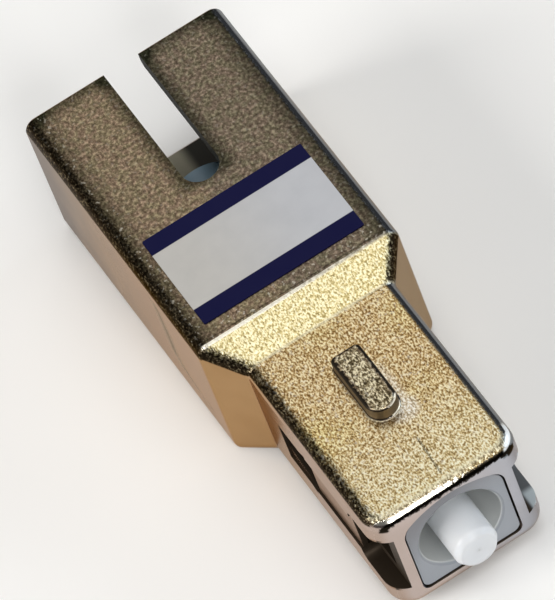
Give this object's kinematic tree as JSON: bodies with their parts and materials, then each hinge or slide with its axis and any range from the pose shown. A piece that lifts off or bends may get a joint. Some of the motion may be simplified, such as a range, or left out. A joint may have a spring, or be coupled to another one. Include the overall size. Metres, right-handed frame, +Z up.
{
  "type": "fibre optic attenuator",
  "caption": "Plug-in fibre optic attenuator: plated die-cast housing with a keyed push-pull plug and sprung ferrule at the front and a slotted port for a matching plug at the back.",
  "frame": {"origin": "under the middle of the overall box, on the surface the part lies on", "axes": "+X along the fibre axis towards the plug and ferrule, +Y to the left of the key seen from behind, +Z up on the side with the key, keyway and label"},
  "size_m": [0.0356, 0.0122, 0.0092],
  "materials": {
    "plating": "warm nickel plating on a zinc casting, sand-blasted on top and polished on the sides",
    "label_film": "printed film, pale with two navy stripes",
    "core_plastic": "moulded, satin",
    "zirconia": "polished white ceramic",
    "fibre_glass": "doped glass fibre, polished at both ends",
    "collar_metal": "nickel-plated brass",
    "spring_steel": "bright spring wire"
  },
  "bodies": {
    "housing": {"housing": "plating", "label": "label_film"},
    "core": {"plug_frame": "core_plastic", "hook_holder": "core_plastic", "sleeve_housing": "core_plastic", "split_sleeve": "zirconia", "spring": "spring_steel"},
    "ferrule": {"ferrule": "zirconia", "attenuating_fibre": "fibre_glass", "ferrule_collar": "collar_metal"}
  },
  "joints": [
    {"name": "core_slide", "type": "slide", "parent": "housing", "child": "core", "axis": [1, 0, 0], "range_m": [0, 0.0018]},
    {"name": "ferrule_float", "type": "slide", "parent": "core", "child": "ferrule", "axis": [1, 0, 0], "range_m": [-0.0009, 0], "stiffness_N_per_m": 3000, "deforming": ["spring"]}
  ]
}
